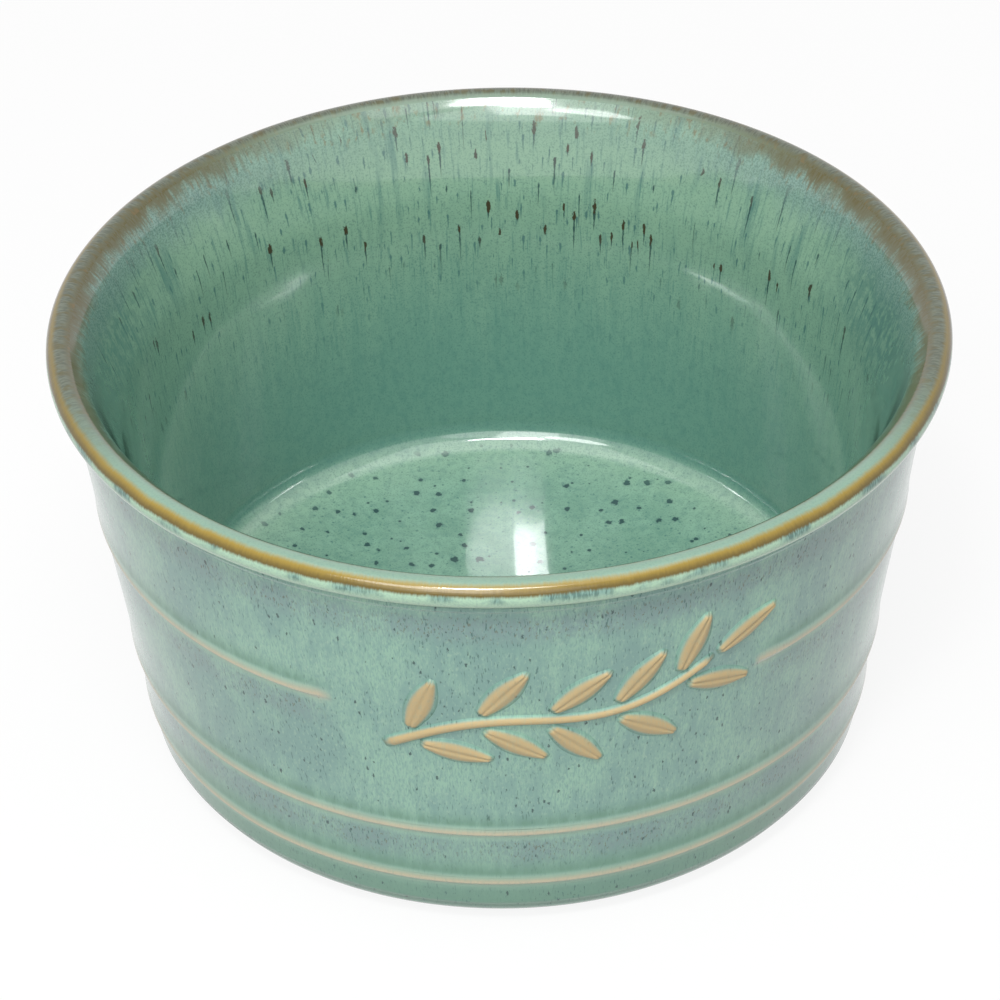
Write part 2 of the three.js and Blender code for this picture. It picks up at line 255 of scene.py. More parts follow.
def base_line():
    """From the foot of the wall round the base to the foot ring."""
    centre = (crest_radius(0) - BASE_TUCK - BASE_ROUNDING, FOOT_HEIGHT + BASE_ROUNDING)
    angles = np.radians(np.linspace(BASE_ARC_TOP, -90, 22))
    arc = np.stack([centre[0] + BASE_ROUNDING * np.cos(angles),
                    centre[1] + BASE_ROUNDING * np.sin(angles)], 1)
    return np.concatenate([arc, [[FOOT_RADIUS + FOOT_DRAFT, FOOT_HEIGHT]]])


# Meshes
SLOW_WOBBLE = 0.05
QUICK_WOBBLE = 0.02
FINE_WOBBLE = 0.012
CALM_RADIUS = 20.0  # the unevenness dies away inside this radius


def wobble(angle, height):
    """The slight unevenness of a jiggered and hand-fettled wall, drawn in so that it stays in the solids."""
    slow = SLOW_WOBBLE * np.sin(2 * angle + 0.6) * np.sin(height / 23 + 0.4)
    quick = QUICK_WOBBLE * np.sin(7 * angle + height / 9)
    fine = FINE_WOBBLE * np.sin(13 * angle - height / 5)
    return slow + quick + fine - SLOW_WOBBLE


def new_piece(name, verts, faces, material, node, attributes=None):
    """Makes a mesh piece from millimetres, rides it on the bowl and puts it in place of its node."""
    mesh = bpy.data.meshes.new(name)
    mesh.from_pydata((verts * MM).tolist(), [], faces)
    for key, values in (attributes or {}).items():
        layer = mesh.attributes.new(key, "FLOAT", "POINT")
        layer.data.foreach_set("value", np.asarray(values, np.float32).ravel())
    mesh.polygons.foreach_set("use_smooth", np.ones(len(mesh.polygons), bool))
    mesh.materials.append(material)
    mesh.update()
    piece = bpy.data.objects.new(name, mesh)
    bpy.context.scene.collection.objects.link(piece)
    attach(piece, "root")
    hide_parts(node)


def crisp_ends(line):
    """The line with a second point hard by each end, so that the shading stays clean up to the edge."""
    near = 0.03
    first = line[0] + (line[1] - line[0]) * near
    last = line[-1] + (line[-2] - line[-1]) * near
    return np.concatenate([line[:1], [first], line[1:-1], [last], line[-1:]])


def turned_piece(name, face, back, material, node, radius_at=None, attributes=None, back_follows=True):
    """A closed ring turned from a face line and the back line under it, which run the same way.

    radius_at(height, angle) reshapes the face where it isn't round, and the back where it follows."""
    face = crisp_ends(face)
    section = np.concatenate([face, back[::-1]])
    count = len(section)
    angles = np.arange(SEGMENTS) * 2 * math.pi / SEGMENTS
    grid_angle, grid_radius = np.meshgrid(angles, section[:, 0], indexing="ij")
    grid_height = np.broadcast_to(section[:, 1], grid_radius.shape).copy()
    if radius_at is not None:
        moves = (np.arange(count) < len(face)) | back_follows
        shaped = radius_at(grid_height, grid_angle)
        change = shaped - radius_at(grid_height, np.full_like(grid_angle, math.pi))
        grid_radius = grid_radius + np.where(moves, change, 0)
    fades = np.clip(grid_radius / CALM_RADIUS, 0, 1)
    grid_radius = grid_radius + wobble(grid_angle, grid_height) * fades
    verts = np.stack([grid_radius * np.sin(grid_angle), -grid_radius * np.cos(grid_angle), grid_height], 2)
    i, j = np.meshgrid(np.arange(SEGMENTS), np.arange(count), indexing="ij")
    i_next, j_next = (i + 1) % SEGMENTS, (j + 1) % count
    faces = np.stack([i * count + j, i * count + j_next, i_next * count + j_next, i_next * count + j], 2)
    values = {key: rule(grid_height, grid_angle) for key, rule in (attributes or {}).items()}
    faces = faces.reshape(-1, 4).tolist()
    new_piece(name, verts.reshape(-1, 3), faces, material, node, values)


# Node graphs
class Graph:
    """The node tree of a material or world, with short calls that take numbers, colours or sockets."""

    def __init__(self, owner):
        owner.use_nodes = True
        self.owner = owner
        self.tree = owner.node_tree
        self.shader = self.tree.nodes.get("Principled BSDF")

    def add(self, kind, inputs=None, **settings):
        made = self.tree.nodes.new(kind)
        for key, value in settings.items():
            setattr(made, key, value)
        for key, value in (inputs or {}).items():
            self.feed(made.inputs[key], value)
        return made

    def feed(self, socket, value):
        if isinstance(value, bpy.types.NodeSocket):
            self.tree.links.new(value, socket)
        elif hasattr(value, "__len__") and len(value) == 3 and socket.type == "RGBA":
            socket.default_value = (*value, 1)
        else:
            socket.default_value = value

    def set(self, **inputs):
        for key, value in inputs.items():
            self.feed(self.shader.inputs[key.replace("_", " ")], value)

    def place(self, stretch=(1, 1, 1)):
        """Object coordinates in millimetres, each axis divided by its stretch."""
        coords = self.add("ShaderNodeTexCoord").outputs["Object"]
        scale = tuple(1 / MM / s for s in stretch)
        return self.add("ShaderNodeMapping", {"Vector": coords, "Scale": scale}).outputs[0]

    def on_tube(self, vector, along):
        """The vector moved out on to a tube of the rim's size, with the given measure along the tube."""
        axes = self.add("ShaderNodeSeparateXYZ", {"Vector": vector}).outputs
        flat = self.add("ShaderNodeCombineXYZ", {"X": axes["X"], "Y": axes["Y"]}).outputs[0]
        unit = self.add("ShaderNodeVectorMath", {0: flat}, operation="NORMALIZE").outputs["Vector"]
        ring = self.add("ShaderNodeVectorMath", {0: unit, "Scale": RIM_RADIUS}, operation="SCALE")
        axes = self.add("ShaderNodeSeparateXYZ", {"Vector": ring.outputs["Vector"]}).outputs
        return self.add("ShaderNodeCombineXYZ", {"X": axes["X"], "Y": axes["Y"], "Z": along}).outputs[0]

    def around(self, along):
        """Coordinates in millimetres round the bowl, with another measure along it."""
        return self.on_tube(self.place(), along)

    def span(self, x, y):
        """Length of the two measures taken square to each other."""
        both = self.add("ShaderNodeCombineXYZ", {"X": x, "Y": y}).outputs[0]
        return self.add("ShaderNodeVectorMath", {0: both}, operation="LENGTH").outputs["Value"]

    def attribute(self, name):
        return self.add("ShaderNodeAttribute", attribute_name=name).outputs["Fac"]

    def measure(self, axis):
        """One of the object coordinates in millimetres: Z is the height, Y runs from front to back."""
        return self.add("ShaderNodeSeparateXYZ", {"Vector": self.place()}).outputs[axis]

    def math(self, operation, a, b=0.0, c=0.0):
        return self.add("ShaderNodeMath", {0: a, 1: b, 2: c}, operation=operation).outputs[0]

    def ease(self, value, low, high, start=0.0, end=1.0):
        """Smooth step of value from low to high, mapped on start to end."""
        limits = {"Value": value, "From Min": low, "From Max": high, "To Min": start, "To Max": end}
        return self.add("ShaderNodeMapRange", limits, interpolation_type="SMOOTHSTEP").outputs["Result"]

    def noise(self, place, size, detail=3.0, roughness=0.55, distortion=0.0):
        """Noise from 0 to 1 whose lumps are about the given size in millimetres."""
        made = self.add("ShaderNodeTexNoise", {"Vector": place, "Scale": 1 / size, "Detail": detail,
                                               "Roughness": roughness, "Distortion": distortion})
        return made.outputs["Fac"]

    def mix(self, share, a, b):
        made = self.add("ShaderNodeMix", {"Factor": share}, data_type="RGBA")
        first, second = (socket for socket in made.inputs if socket.type == "RGBA")
        self.feed(first, a)
        self.feed(second, b)
        return next(socket for socket in made.outputs if socket.type == "RGBA")

    def specks(self, place, size, reach, share, soft=0.05, dimensions="3D"):
        """Small uneven specks: a share of the cells has one, of about reach times its cell."""
        made = self.add("ShaderNodeTexVoronoi", voronoi_dimensions=dimensions)
        self.feed(made.inputs["Vector"], place)
        self.feed(made.inputs["Scale"], 1 / size)
        parts = self.add("ShaderNodeSeparateColor", {"Color": made.outputs["Color"]})
        present = self.ease(parts.outputs[0], 1 - share, 1 - share + 0.01)
        limit = self.math("MULTIPLY_ADD", parts.outputs[1], reach, reach * 0.3)
        uneven = self.ease(self.noise(place, size * 0.15, 1), 0.25, 0.75, 0.6, 1.4)
        edge = self.math("SUBTRACT", self.math("MULTIPLY", limit, uneven), made.outputs["Distance"])
        return self.math("MULTIPLY", present, self.ease(edge, -soft, soft))

    def drips(self, height, size, stretch, share, width, length):
        """Runs with a head and a thin tail below it: masks for the larger heads and for the whole runs."""
        place = self.around(self.math("DIVIDE", height, stretch))
        made = self.add("ShaderNodeTexVoronoi", {"Vector": place, "Scale": 1 / size})
        parts = self.add("ShaderNodeSeparateColor", {"Color": made.outputs["Color"]})
        present = self.ease(parts.outputs[0], 1 - share, 1 - share + 0.01)
        middle = made.outputs["Position"]
        level = self.add("ShaderNodeSeparateXYZ", {"Vector": middle}).outputs["Z"]
        middle = self.on_tube(middle, level)
        away = self.add("ShaderNodeVectorMath", {0: place, 1: middle}, operation="SUBTRACT")
        axes = self.add("ShaderNodeSeparateXYZ", {"Vector": away.outputs["Vector"]}).outputs
        across = self.span(axes["X"], axes["Y"])
        drop = self.math("MULTIPLY", axes["Z"], -stretch)
        uneven = self.ease(self.noise(self.place((1, 1, 2)), 0.5, 2), 0.3, 0.7, 0.6, 1.4)
        radius = self.math("MULTIPLY_ADD", parts.outputs[2], width, width * 0.5)
        radius = self.math("MULTIPLY", radius, uneven)
        head_edge = self.math("SUBTRACT", radius, self.span(across, self.math("MULTIPLY", drop, 0.38)))
        head = self.math("MULTIPLY", present, self.ease(head_edge, -0.08, 0.1))
        reach = self.math("MULTIPLY_ADD", parts.outputs[1], length, length * 0.1)
        taper = self.ease(self.math("DIVIDE", drop, reach), 0.0, 1.0, 0.7, 0.0)
        tail_edge = self.math("SUBTRACT", self.math("MULTIPLY", radius, taper), across)
        below = self.math("MULTIPLY", self.ease(drop, -0.3, 0.1), self.ease(taper, 0.0, 0.15))
        tail = self.math("MULTIPLY", self.math("MULTIPLY", present, below), self.ease(tail_edge, -0.1, 0.1))
        large_head = self.math("MULTIPLY", head, self.ease(parts.outputs[2], 0.35, 0.65))
        return large_head, self.math("MAXIMUM", head, tail)

    def bump(self, height, distance, strength=1.0):
        made = self.add("ShaderNodeBump", {"Height": height, "Distance": distance, "Strength": strength})
        self.set(Normal=made.outputs["Normal"])


# Glaze and clay colours
MINT = (0.315, 0.55, 0.42)
PALE_MINT = (0.37, 0.58, 0.45)
# Painted light: a paler mint that makes up for the light the bead's face misses.
BRIGHTENED_BEAD_MINT = (0.46, 0.68, 0.49)
LIP_MINT = (0.255, 0.41, 0.31)
LIP_SHADE = (0.19, 0.33, 0.28)
BACK_LIP = (0.23, 0.36, 0.27)
BLUE_GREY = (0.215, 0.39, 0.345)
LILAC = (0.215, 0.335, 0.325)
LILAC_WHITE = (0.15, 0.175, 0.125)
GREY_GREEN = (0.085, 0.10, 0.07)
SEA_GREEN = (0.145, 0.31, 0.22)
UPPER_GREEN = (0.265, 0.44, 0.31)
DEEP_GREEN = (0.135, 0.295, 0.23)
FLOOR_GREEN = (0.225, 0.405, 0.30)
FLOOR_SHADE = (0.18, 0.345, 0.255)
# Painted reflection at the edge of the floor.
FLOOR_EDGE_SHEEN = (0.28, 0.46, 0.33)
FRINGE_PALE = (0.24, 0.38, 0.335)
FRINGE_DARK = (0.13, 0.245, 0.215)
RUN_TEAL = (0.08, 0.21, 0.185)
TEAL = (0.06, 0.16, 0.15)
DEEP_TEAL = (0.02, 0.065, 0.065)
GOLD = (0.37, 0.255, 0.035)
DARK_GOLD = (0.14, 0.095, 0.012)
OLIVE_BROWN = (0.105, 0.085, 0.018)
DAB_BROWN = (0.19, 0.12, 0.04)
UMBER = (0.06, 0.034, 0.012)
CREAM = (0.59, 0.52, 0.36)
TAN = (0.57, 0.43, 0.22)
CLAY = (0.52, 0.42, 0.29)
CLAY_SHADE = (0.40, 0.31, 0.20)


def outside_glaze():
    """Mottled sea-green glaze: bare crests with painted highlight lines beside them, darker green above them
    that is partly pooled glaze and partly painted shade, lilac below them, and darker towards the foot,
    partly painted shade.

    The sprig's own attributes lay its clay bare."""
    g = Graph(bpy.data.materials.new("outside_glaze"))
    plain = g.place()
    height = g.measure("Z")
    runs = g.around(g.math("DIVIDE", height, 4.0))
    short_runs = g.around(g.math("DIVIDE", height, 2.2))
    broad = g.noise(g.place((1, 1, 1.4)), 10, 2)
    cloud = g.noise(runs, 1.8, 3)
    grain = g.noise(runs, 0.28, 2, 0.7)
    fleck = g.noise(short_runs, 0.42, 2)
    blend = g.math("MULTIPLY_ADD", cloud, 0.45, g.math("MULTIPLY", broad, 0.7))
    colour = g.mix(g.ease(blend, 0.45, 0.72), MINT, BLUE_GREY)
    colour = g.mix(g.ease(grain, 0.42, 0.66, 0, 0.8), colour, BLUE_GREY)
    colour = g.mix(g.ease(fleck, 0.54, 0.72, 0, 0.5), colour, PALE_MINT)
    # Darker sea green towards the foot: partly the glaze's own colour, partly painted shade for the light
    # the lower tiers miss.
    colour = g.mix(g.ease(height, 3, 22, 0.9, 0), colour, SEA_GREEN)
    lilac = g.math("MULTIPLY", g.attribute("lilac"), g.ease(broad, 0.3, 0.6, 0.4, 1))
    colour = g.mix(g.math("MULTIPLY", lilac, g.ease(grain, 0.35, 0.6, 0.3, 0.9)), colour, LILAC)
    rusty = g.math("MULTIPLY", lilac, g.ease(g.noise(short_runs, 0.38, 1), 0.60, 0.70, 0, 0.55))
    colour = g.mix(rusty, colour, OLIVE_BROWN)
    hairs = g.ease(g.noise(runs, 0.3, 1), 0.60, 0.72)
    hair_share = g.math("MAXIMUM", g.ease(blend, 0.40, 0.68, 0.1, 0.75), g.math("MULTIPLY", lilac, 0.9))
    colour = g.mix(g.math("MULTIPLY", hairs, hair_share), colour, TEAL)
    specks = g.specks(g.place((1, 1, 2)), 1.3, 0.13, 0.6)
    colour = g.mix(g.math("MULTIPLY", specks, 0.85), colour, DEEP_TEAL)
    # Darker green above the crests, pooled glaze and painted shade; on the sprig it darkens round the foot
    # of the relief.
    pool = g.math("MULTIPLY", g.attribute("pool"), g.ease(cloud, 0.3, 0.65, 0.5, 0.9))
    colour = g.mix(pool, colour, SEA_GREEN)
    # Painted highlight: pale mint lines just above and just below each crest.
    colour = g.mix(g.math("MULTIPLY", g.attribute("crest_highlight"), 0.7), colour, PALE_MINT)
    bare = g.math("MULTIPLY", g.attribute("thin"), g.ease(fleck, 0.25, 0.55, 0.7, 0.95))
    colour = g.mix(bare, colour, CREAM)
    colour = g.mix(g.math("MULTIPLY", g.attribute("bare"), g.ease(fleck, 0.2, 0.6, 0.8, 1)), colour, TAN)
    matt = g.attribute("matt")
    roughness = g.math("MULTIPLY_ADD", matt, 0.35, g.ease(grain, 0.3, 0.7, 0.10, 0.18))
    g.set(Base_Color=colour, Roughness=roughness)
    g.set(Coat_Weight=g.ease(matt, 0, 1, 0.25, 0.03), Coat_Roughness=0.04)
    g.bump(g.noise(plain, 1.2, 2), 0.00003)
    return g.owner


def inside_ground(g, height, fine_runs, cloud):
    """Pale floor with a painted reflection at its edge, and a wall that turns upwards from deep green to a
    paler, streaked green, partly painted reflection.
    """
    wide_runs = g.noise(g.around(g.math("DIVIDE", height, 9.0)), 2.6, 3)
    level = g.math("MULTIPLY_ADD", g.math("SUBTRACT", wide_runs, 0.5), 24.0, height)
    floor = g.mix(g.ease(cloud, 0.35, 0.65), FLOOR_GREEN, FLOOR_SHADE)
    # Painted reflection: a paler ring at the floor's edge, where the fillet catches the light.
    floor = g.mix(g.ease(height, 10.2, 11.6, 0, 0.8), floor, FLOOR_EDGE_SHEEN)
    # Paler towards the top: partly the glaze's own colour, partly painted reflection of the light on the
    # upper wall.
    wall = g.mix(g.ease(level, 24, 66), DEEP_GREEN, UPPER_GREEN)
    colour = g.mix(g.ease(height, 11.8, 14.5), floor, wall)
    streaks = g.math("MULTIPLY", g.ease(fine_runs, 0.55, 0.72), g.ease(height, 20, 60, 0.15, 0.6))
    colour = g.mix(streaks, colour, RUN_TEAL)
    patches = g.math("MULTIPLY", g.ease(wide_runs, 0.55, 0.70), g.ease(height, 46, 68, 0, 0.75))
    return g.mix(patches, colour, RUN_TEAL)


def floor_specks(g, colour, height):
    """Fine dots, and larger specks with a soft teal ring, on the floor alone."""
    plain = g.place()
    on_floor = g.ease(height, 10.5, 13.0, 1, 0)
    dots = g.math("MULTIPLY", g.specks(plain, 1.7, 0.10, 0.7, 0.04, "2D"), on_floor)
    colour = g.mix(g.math("MULTIPLY", dots, 0.7), colour, TEAL)
    halos = g.math("MULTIPLY", g.specks(plain, 4.6, 0.14, 0.9, 0.05, "2D"), on_floor)
    colour = g.mix(g.math("MULTIPLY", halos, 0.4), colour, TEAL)
    large = g.math("MULTIPLY", g.specks(plain, 4.6, 0.10, 0.9, 0.02, "2D"), on_floor)
    return g.mix(large, colour, DEEP_TEAL)


def dark_runs(g, colour, height):
    """Short teal runs and, higher up, longer dark ones, the larger of which have a brown head."""
    short_run = g.drips(height, 1.9, 3, 0.55, 0.18, 3.0)[1]
    colour = g.mix(g.math("MULTIPLY", short_run, g.ease(height, 25, 52, 0.1, 0.85)), colour, TEAL)
    head, run = g.drips(height, 2.9, 5, 0.75, 0.27, 8)
    high = g.ease(height, 38, 54)
    colour = g.mix(g.math("MULTIPLY", run, g.math("MULTIPLY", high, 0.9)), colour, DEEP_TEAL)
    return g.mix(g.math("MULTIPLY", head, g.math("MULTIPLY", high, 0.85)), colour, UMBER)


def side_teal_and_shade(g, colour, near_rim, mottle):
    """Teal runs below the rim, all round except at the back, and darker at the right: partly the glaze's own
    teal, partly painted shade on the inner sides.
    """
    not_at_back = g.ease(g.measure("Y"), 8, 34, 1, 0)
    runs = g.math("MULTIPLY", not_at_back, g.ease(near_rim, 50, 66, 0, 1))
    runs = g.math("MULTIPLY", runs, g.ease(mottle, 0.36, 0.58, 0.25, 0.75))
    colour = g.mix(runs, colour, RUN_TEAL)
    # Darker still at the right: partly painted shade.
    right_teal_and_shade = g.math("MULTIPLY", runs, g.ease(g.measure("X"), 40, 60, 0, 0.8))
    return g.mix(right_teal_and_shade, colour, TEAL)


def rim_fringe(g, colour, near_rim, off_back, grain, fine_runs):
    """Pale fringe, brown dabs and a brown edge where the inside meets the rim, fainter at the back."""
    fringe = g.mix(g.ease(grain, 0.4, 0.6), FRINGE_PALE, FRINGE_DARK)
    colour = g.mix(g.math("MULTIPLY", off_back, g.ease(near_rim, 65, 71, 0, 0.85)), colour, fringe)
    dab_place = g.around(g.math("DIVIDE", g.measure("Z"), 1.6))
    dabs = g.ease(g.noise(dab_place, 1.0, 3), 0.55, 0.72)
    colour = g.mix(g.math("MULTIPLY", dabs, g.ease(near_rim, 69.5, 72, 0, 0.6)), colour, DAB_BROWN)
    brown = g.mix(g.ease(fine_runs, 0.4, 0.6, 0, 0.4), OLIVE_BROWN, LILAC_WHITE)
    return g.mix(g.math("MULTIPLY", off_back, g.ease(near_rim, 71.2, 74.2)), colour, brown)


def inside_glaze():
    """Sea-green glaze: deep on the wall, paler and streaked near the rim, specked on the floor."""
    g = Graph(bpy.data.materials.new("inside_glaze"))
    plain = g.place()
    height = g.measure("Z")
    fine_runs = g.noise(g.around(g.math("DIVIDE", height, 11.0)), 0.5, 2)
    grain = g.noise(plain, 0.3, 2, 0.65)
    cloud = g.noise(plain, 6, 3)
    mottle = g.noise(g.place((1, 1, 1.5)), 1.3, 2, 0.6)
    near_rim = g.math("MULTIPLY_ADD", g.math("SUBTRACT", fine_runs, 0.5), 4.0,
                      g.math("MULTIPLY_ADD", g.math("SUBTRACT", cloud, 0.5), 5.0, height))
    off_back = g.ease(g.measure("Y"), 38, 66, 1, 0.2)
    colour = inside_ground(g, height, fine_runs, cloud)
    colour = g.mix(g.ease(grain, 0.48, 0.70, 0, 0.5), colour, TEAL)
    mottled = g.math("MULTIPLY", g.ease(mottle, 0.45, 0.68), g.ease(height, 28, 52, 0.3, 0.08))
    colour = g.mix(mottled, colour, RUN_TEAL)
    colour = floor_specks(g, colour, height)
    colour = dark_runs(g, colour, height)
    colour = side_teal_and_shade(g, colour, near_rim, mottle)
    colour = rim_fringe(g, colour, near_rim, off_back, grain, fine_runs)
    dull = g.math("MULTIPLY", off_back, g.ease(height, 64, 71))
    g.set(Base_Color=colour, Roughness=g.ease(grain, 0.3, 0.7, 0.08, 0.13), Specular_IOR_Level=0.6)
    g.set(Coat_Weight=g.ease(dull, 0.2, 1, 0.85, 0.1), Coat_Roughness=g.ease(height, 66, 72, 0.012, 0.12))
    g.bump(g.noise(plain, 2.2, 2), 0.00001)
    return g.owner


def rim_glaze():
    """The rolled rim: a golden band on its outer edge, mint at the front, lilac and brown at the sides."""
    g = Graph(bpy.data.materials.new("rim_glaze"))
    plain = g.place()
    raw_tilt = g.attribute("tilt")
    hairs = g.noise(g.around(g.math("MULTIPLY", raw_tilt, 0.008)), 0.3, 2)
    dabs = g.noise(g.around(g.math("MULTIPLY", raw_tilt, 0.02)), 1.4, 2)
    broad = g.noise(plain, 8, 2)
    grain = g.noise(plain, 0.35, 3, 0.65)
    wander = g.math("MULTIPLY_ADD", g.math("SUBTRACT", hairs, 0.5), 13.0,
                    g.math("MULTIPLY", g.math("SUBTRACT", broad, 0.5), 18.0))
    tilt = g.math("ADD", raw_tilt, wander)
    side = g.attribute("side")
    mint = g.mix(g.ease(grain, 0.45, 0.65, 0, 0.5), LIP_MINT, LIP_SHADE)
    # Painted light: the bead's face is paler than the wall's mint to make up for the light it misses, facing
    # out and down.
    pale = g.mix(g.ease(grain, 0.40, 0.70, 0, 0.4), BRIGHTENED_BEAD_MINT, BLUE_GREY)
    grey = g.mix(g.ease(hairs, 0.36, 0.66), LILAC_WHITE, GREY_GREEN)
    grey = g.mix(g.ease(dabs, 0.48, 0.66, 0, 0.7), grey, OLIVE_BROWN)
    top = g.mix(side, mint, grey)
    inner = g.mix(g.ease(hairs, 0.4, 0.6, 0, 0.4), OLIVE_BROWN, LILAC_WHITE)
    inner = g.mix(g.ease(dabs, 0.58, 0.68, 0, 0.7), inner, DAB_BROWN)
    depth = g.measure("Y")
    inner = g.mix(g.ease(depth, 38, 66, 1, 0.2), BACK_LIP, inner)
    colour = g.mix(g.ease(tilt, -46, -6), inner, top)
    gold = g.mix(g.ease(tilt, 30, 68), GOLD, DARK_GOLD)
    gold = g.mix(g.math("MULTIPLY", side, 0.5), gold, OLIVE_BROWN)
    colour = g.mix(g.ease(tilt, 14, 40), colour, gold)
    shade = g.mix(g.ease(hairs, 0.42, 0.6), TEAL, BLUE_GREY)
    under = g.mix(g.ease(broad, 0.46, 0.60, 0, 0.85), pale, shade)
    face = g.mix(g.ease(tilt, 84, 116), under, pale)
    colour = g.mix(g.ease(tilt, 64, 80), colour, face)
    g.set(Base_Color=colour, Roughness=g.ease(grain, 0.3, 0.7, 0.08, 0.16), Coat_Weight=0.2)
    g.set(Coat_Roughness=0.04)
    g.bump(hairs, 0.00002)
    return g.owner


def bare_clay():
    """Unglazed fired stoneware with fine grit."""
    g = Graph(bpy.data.materials.new("bare_clay"))
    plain = g.place()
    grit = g.noise(plain, 0.3, 4, 0.7)
    colour = g.mix(g.ease(grit, 0.35, 0.7), CLAY, CLAY_SHADE)
    colour = g.mix(g.math("MULTIPLY", g.specks(plain, 1.4, 0.15, 0.4), 0.7), colour, UMBER)
    g.set(Base_Color=colour, Roughness=g.ease(grit, 0.3, 0.7, 0.6, 0.85))
    g.bump(grit, 0.00006)
    return g.owner


outside = outside_glaze()
inside = inside_glaze()
rim = rim_glaze()
clay = bare_clay()


# Pieces
def inset(line, by):
    """The line moved along its normal, to the right of its run, or to the left by less than nothing."""
    along = np.gradient(line, axis=0)
    along /= np.linalg.norm(along, axis=1, keepdims=True)
    normal = np.stack([along[:, 1], -along[:, 0]], 1)
    return line + normal * by


def hidden_line(line, every=HIDDEN_EVERY):
    """The line with fewer points, for a side that no view shows."""
    return np.concatenate([line[:-1:every], line[-1:]])


def wall_line(low, high):
    heights = wall_heights(low, high)[::-1]
    return np.stack([wall_radius(heights, np.full(heights.shape, math.pi)), heights], 1)


def outside_piece(name, low, high, node, tail=None):
    """A coat on the outside between two heights, and on along the tail where there is one."""
    face = wall_line(low, high)
    if tail is None:
        back = face - np.array([COAT, 0])
    else:
        face = np.concatenate([face, tail])
        back = inset(face, COAT)
    rules = {"thin": thinness, "pool": pooling_and_shade, "crest_highlight": crest_highlight, "lilac": lilac_share}
    turned_piece(name, face, back, outside, node, wall_radius, rules)


JOINT_RISE = 0.95  # height above a crest at which one coat meets the next
JOINT_LAP = 0.1
NECK_RISE = 0.5  # the wall's coat runs this far above its top edge, behind the rim
CLAY_NECK_RISE = 0.4
BASE_GAP = 0.3  # between the lowest point of the wall and the first of the base
base_tail = base_line()
wall_bottom = base_tail[0][1] + BASE_GAP
middle_joint = MIDDLE_RING + JOINT_RISE
lower_joint = LOWER_RING + JOINT_RISE
outside_piece("wall_coat", middle_joint, WALL_TOP + NECK_RISE, "wall_glaze")
outside_piece("middle_coat", lower_joint, middle_joint + JOINT_LAP, "middle_glaze")
outside_piece("foot_coat", wall_bottom, lower_joint + JOINT_LAP, "foot_glaze", base_tail)


def rim_side(height, angle):
    """0 at the front of the rim, 1 at its sides and back."""
    return smooth(math.radians(48), math.radians(78), angle_from(0, angle))


def rim_piece(name, from_tilt, to_tilt, node):
    """A coat on the rolled rim between two tilts from straight up, outwards positive."""
    face = bead_line(from_tilt, to_tilt)
    back = bead_line(from_tilt, to_tilt, LIP_RADIUS - COAT)

    def tilt(height, angle):
        tilts = np.linspace(from_tilt, to_tilt, len(face))
        row = np.concatenate([tilts[:1], tilts, tilts[-1:], tilts[::-1]])
        return np.broadcast_to(row, height.shape)

    rules = {"tilt": tilt, "side": rim_side}
    turned_piece(name, face, back, rim, node, None, rules)


rim_piece("lip_coat", LIP_SLOPE_TILT, BAND_TOP_TILT, "lip_glaze")
rim_piece("amber_band", BAND_TOP_TILT, BAND_BOTTOM_TILT, "rim_band")
rim_piece("bead_coat", BAND_BOTTOM_TILT, BEAD_UNDER_TILT, "bead_glaze")

inner = inside_line()
inner_back = hidden_line(inset(inner, -COAT))
turned_piece("inside_coat", inner[::-1], inner_back[::-1], inside, "inside_glaze")

RECESS_GAP = 0.2
recess = np.array([[RECESS_RADIUS - RECESS_GAP, RECESS_HEIGHT], [AXIS_RADIUS, RECESS_HEIGHT]])
turned_piece("underside_coat", recess, recess + np.array([0, COAT]), inside, "underside_glaze")


FOOT_EDGE = 0.3  # width and rise of the worn edges of the foot ring
FOOT_EDGE_RISE = 0.25
CLAY_DEPTH = COAT / 2  # the clay lies this far under the face of the coats


def foot_line():
    """From the base over the foot ring and across the recess."""
    ring_inside = FOOT_RADIUS - FOOT_WIDTH
    recess_height = RECESS_HEIGHT + CLAY_DEPTH
    return np.array([[FOOT_RADIUS + FOOT_DRAFT, FOOT_HEIGHT],
                     [FOOT_RADIUS, FOOT_EDGE_RISE],
                     [FOOT_RADIUS - FOOT_EDGE, 0],
                     [ring_inside + FOOT_EDGE, 0],
                     [ring_inside, FOOT_EDGE_RISE],
                     [RECESS_RADIUS, recess_height],
                     [AXIS_RADIUS, recess_height]])


def clay_section():
    """The clay under the coats: its outside from the rim to the middle of the recess, and its inside."""
    bead = bead_line(LIP_SLOPE_TILT, BEAD_UNDER_TILT, LIP_RADIUS - CLAY_DEPTH, 8)
    wall = hidden_line(wall_line(wall_bottom, WALL_TOP + CLAY_NECK_RISE), 2) - np.array([CLAY_DEPTH, 0])
    base = inset(base_tail, CLAY_DEPTH)
    outer = np.concatenate([bead, wall, base, foot_line()])
    return outer, hidden_line(inset(inner, -CLAY_DEPTH))


clay_face, clay_back = clay_section()
turned_piece("clay_core", clay_face, clay_back, clay, "clay_body", wall_radius, back_follows=False)


# Sprig
STEM_LENGTH = 50.0
STEM_RISE = 13.0
STEM_BOW = 2.5
STEM_WIDTH = 1.7
STEM_TIP_WIDTH = 1.1
LEAF_PAIRS = 5
LEAF_LENGTH = 11.5
LEAF_WIDTH = 4.2
LEAF_SPREAD = math.radians(42)
LEAF_BASE_WIDTH = 1.1
LEAF_TIP_WIDTH = 0.4
SPRIG_PROUD = 0.75
SPRIG_SKIRT = 0.55
SPRIG_GAP = 0.3
SPRIG_SINK = 0.04  # its edges lie this far under the face of the glaze
SPRIG_ROOT = 0.3  # and its back this far
LEAF_TRIM = 0.2  # a leaf's crown is this much narrower on each side than its solid
STEM_TRIM = 0.1
END_STEPS = 2  # rows over which its ends rise


